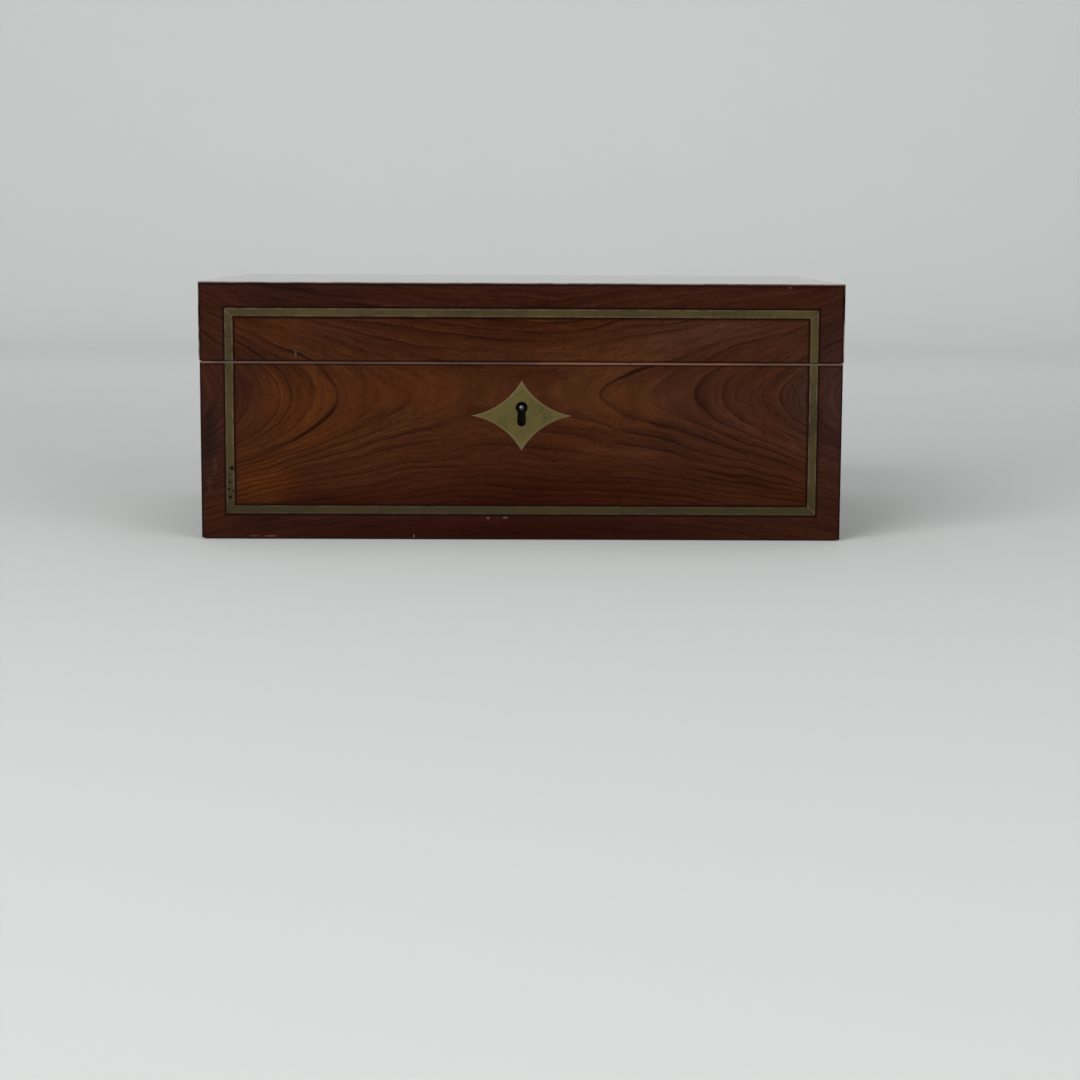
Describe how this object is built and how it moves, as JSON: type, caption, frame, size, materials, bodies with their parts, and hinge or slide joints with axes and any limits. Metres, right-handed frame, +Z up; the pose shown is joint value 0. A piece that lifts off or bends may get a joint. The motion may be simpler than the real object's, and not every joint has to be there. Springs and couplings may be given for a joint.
{
  "type": "dressing case",
  "caption": "Veneered dressing case with brass stringing, a hinged mirror lid, a box lock, a lift-out tray and capped glass jars.",
  "frame": {"origin": "middle of the footprint, on the surface that the case stands on", "axes": "+X towards the right end, +Y towards the hinges, +Z up; the keyhole faces -Y"},
  "size_m": [0.28, 0.196, 0.112],
  "materials": {
    "figured_veneer": "french polished, figured",
    "banding_veneer": "french polished, straight grained",
    "carcass_wood": "planed, waxed",
    "inside_wood": "polished",
    "rim_facing": "worn polish",
    "inlaid_brass": "tarnished, flush with the veneer",
    "worked_brass": "filed and polished",
    "spring_steel": "blued",
    "lining_velvet": "short pile",
    "frame_velvet": "short pile over board",
    "baize": "felted",
    "looking_glass": "silvered plate with a bevelled edge",
    "jar_glass": "clear, cut",
    "plated_metal": "silver plate, worn"
  },
  "bodies": {
    "case": {"base_front_wall": "carcass_wood", "base_back_wall": "carcass_wood", "base_left_wall": "carcass_wood", "base_right_wall": "carcass_wood", "base_bottom_board": "carcass_wood", "baize_underside": "baize", "base_front_veneer": "figured_veneer", "base_front_banding": "banding_veneer", "base_stringing": "inlaid_brass", "base_side_veneers": "figured_veneer", "base_back_veneer": "figured_veneer", "base_rim_facing": "rim_facing", "base_lining": "lining_velvet", "keyhole_escutcheon": "inlaid_brass", "row_divider": "inside_wood", "cell_partitions": "inside_wood", "tray_ledges": "inside_wood", "lock_plate": "worked_brass", "lock_cap": "worked_brass", "lock_drill_pin": "worked_brass", "lock_spring": "spring_steel", "hinge_base_leaves": "worked_brass", "hinge_pins": "worked_brass", "base_screws": "worked_brass"},
    "lid": {"lid_front_wall": "carcass_wood", "lid_back_wall": "carcass_wood", "lid_left_wall": "carcass_wood", "lid_right_wall": "carcass_wood", "lid_top_board": "carcass_wood", "lid_front_veneer": "figured_veneer", "lid_front_banding": "banding_veneer", "lid_front_stringing": "inlaid_brass", "lid_top_veneer": "figured_veneer", "lid_top_banding": "banding_veneer", "lid_top_stringing": "inlaid_brass", "lid_side_veneers": "figured_veneer", "lid_back_veneer": "figured_veneer", "lid_rim_facing": "rim_facing", "mirror_backing": "carcass_wood", "mirror_glass": "looking_glass", "mirror_frame": "frame_velvet", "link_plate": "worked_brass", "hinge_lid_leaves": "worked_brass", "lid_screws": "worked_brass"},
    "lock_bolt": {"lock_bolt": "worked_brass"},
    "tray": {"tray_floor": "inside_wood", "tray_long_walls": "inside_wood", "tray_end_walls": "inside_wood", "tray_partitions": "inside_wood", "tray_lining": "lining_velvet"},
    "jar_1": {"jar_1_glass": "jar_glass"},
    "jar_1_lid": {"jar_1_cap": "plated_metal"},
    "jar_2": {"jar_2_glass": "jar_glass"},
    "jar_2_lid": {"jar_2_cap": "plated_metal"},
    "jar_3": {"jar_3_glass": "jar_glass"},
    "jar_3_lid": {"jar_3_cap": "plated_metal"},
    "jar_4": {"jar_4_glass": "jar_glass"},
    "jar_4_lid": {"jar_4_cap": "plated_metal"}
  },
  "joints": [
    {"name": "lid_hinge", "type": "hinge", "parent": "case", "child": "lid", "pos_m": [0, 0.0955, 0.07785], "axis": [-1, 0, 0], "range_deg": [0, 95]},
    {"name": "lock_bolt_slide", "type": "slide", "parent": "case", "child": "lock_bolt", "axis": [1, 0, 0], "range_m": [0, 0.004]},
    {"name": "tray_lift", "type": "slide", "parent": "case", "child": "tray", "axis": [0, 0, 1], "range_m": [0, 0.014]},
    {"name": "jar_1_lift", "type": "slide", "parent": "case", "child": "jar_1", "axis": [0, 0, 1], "range_m": [0, 0.011]},
    {"name": "jar_1_cap_lift", "type": "slide", "parent": "jar_1", "child": "jar_1_lid", "axis": [0, 0, 1], "range_m": [0, 0.011]},
    {"name": "jar_2_lift", "type": "slide", "parent": "case", "child": "jar_2", "axis": [0, 0, 1], "range_m": [0, 0.011]},
    {"name": "jar_2_cap_lift", "type": "slide", "parent": "jar_2", "child": "jar_2_lid", "axis": [0, 0, 1], "range_m": [0, 0.011]},
    {"name": "jar_3_lift", "type": "slide", "parent": "case", "child": "jar_3", "axis": [0, 0, 1], "range_m": [0, 0.011]},
    {"name": "jar_3_cap_lift", "type": "slide", "parent": "jar_3", "child": "jar_3_lid", "axis": [0, 0, 1], "range_m": [0, 0.011]},
    {"name": "jar_4_lift", "type": "slide", "parent": "case", "child": "jar_4", "axis": [0, 0, 1], "range_m": [0, 0.011]},
    {"name": "jar_4_cap_lift", "type": "slide", "parent": "jar_4", "child": "jar_4_lid", "axis": [0, 0, 1], "range_m": [0, 0.011]}
  ]
}
